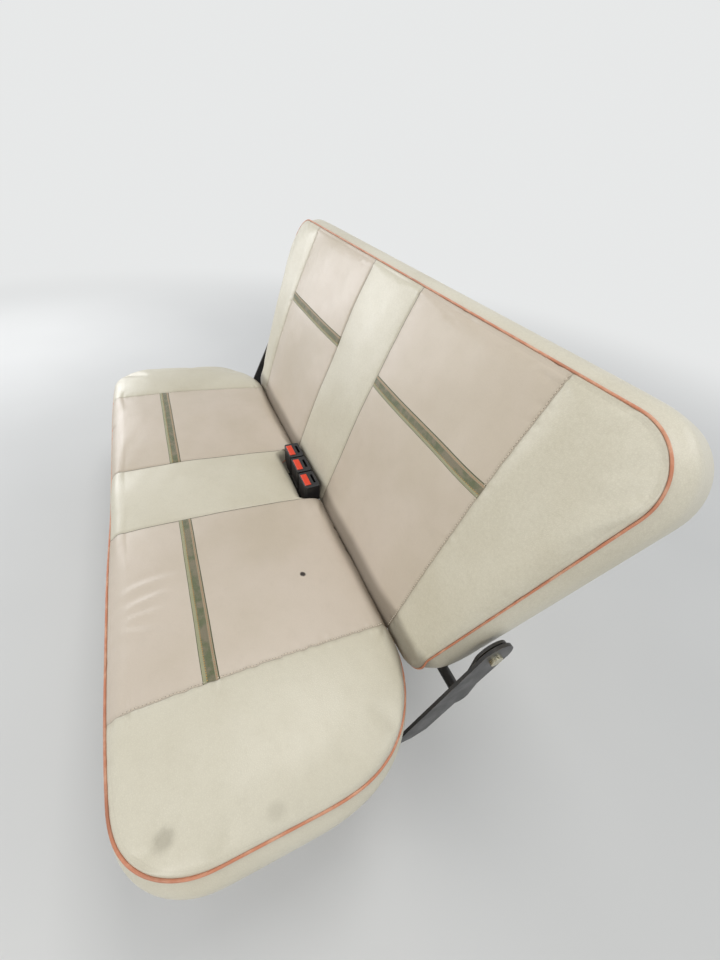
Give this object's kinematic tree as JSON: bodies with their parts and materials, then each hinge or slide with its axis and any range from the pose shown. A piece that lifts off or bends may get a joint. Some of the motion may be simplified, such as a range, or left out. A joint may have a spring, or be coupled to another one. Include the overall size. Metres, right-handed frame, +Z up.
{
  "type": "folding rear bench seat",
  "caption": "Folding rear bench seat for a small car: padded cushion and backrest on a sprung tube frame, with belt buckles in the crease; tips forward and folds flat.",
  "frame": {"origin": "on the floor, in the middle of the four floor bolts, straight under the front hinge axis", "axes": "+X along the bench to the sitter's left, -Y the way the sitter faces, +Z up"},
  "size_m": [1.244, 0.7067, 0.7472],
  "materials": {
    "vinyl": "grained cream vinyl with piped seams",
    "panel_vinyl": "plain vinyl-covered board",
    "frame_paint": "satin black enamel on steel tube and plate",
    "spring_steel": "drawn spring wire",
    "zinc": "zinc-plated pins, bolts and clips",
    "rubber": "moulded black rubber",
    "buckle_plastic": "fine-grained black plastic",
    "button_plastic": "orange-red plastic",
    "webbing": "black woven webbing"
  },
  "bodies": {
    "floor_hinges": {"floor_bracket_left": "frame_paint", "floor_pin_left": "zinc", "floor_bracket_right": "frame_paint", "floor_pin_right": "zinc"},
    "cushion_base": {"seat_pad": "vinyl", "base_hoop": "frame_paint", "base_rear_rail": "frame_paint", "buckle_anchor": "frame_paint", "rear_stretcher": "frame_paint", "seat_springs": "spring_steel", "spring_clips": "zinc", "anchor_bolts": "zinc", "buckle_housing_left": "buckle_plastic", "buckle_button_left": "button_plastic", "buckle_stalk_left": "webbing", "buckle_housing_centre": "buckle_plastic", "buckle_button_centre": "button_plastic", "buckle_stalk_centre": "webbing", "buckle_housing_right": "buckle_plastic", "buckle_button_right": "button_plastic", "buckle_stalk_right": "webbing", "base_stay_left": "frame_paint", "front_leg_left": "frame_paint", "rear_leg_left": "frame_paint", "side_plate_left": "frame_paint", "rear_foot_left": "rubber", "back_pivot_left": "zinc", "base_stay_right": "frame_paint", "front_leg_right": "frame_paint", "rear_leg_right": "frame_paint", "side_plate_right": "frame_paint", "rear_foot_right": "rubber", "back_pivot_right": "zinc"},
    "backrest": {"back_pad": "vinyl", "back_panel": "panel_vinyl", "back_hoop": "frame_paint", "back_low_rail": "frame_paint", "back_arm_left": "frame_paint", "back_arm_right": "frame_paint"}
  },
  "joints": [
    {"name": "bench_tip", "type": "hinge", "parent": "floor_hinges", "child": "cushion_base", "pos_m": [0, 0, 0.04], "axis": [1, 0, 0], "range_deg": [0, 85]},
    {"name": "backrest_fold", "type": "hinge", "parent": "cushion_base", "child": "backrest", "pos_m": [0, 0.47787, 0.38978], "axis": [1, 0, 0], "range_deg": [0, 106.5]}
  ]
}
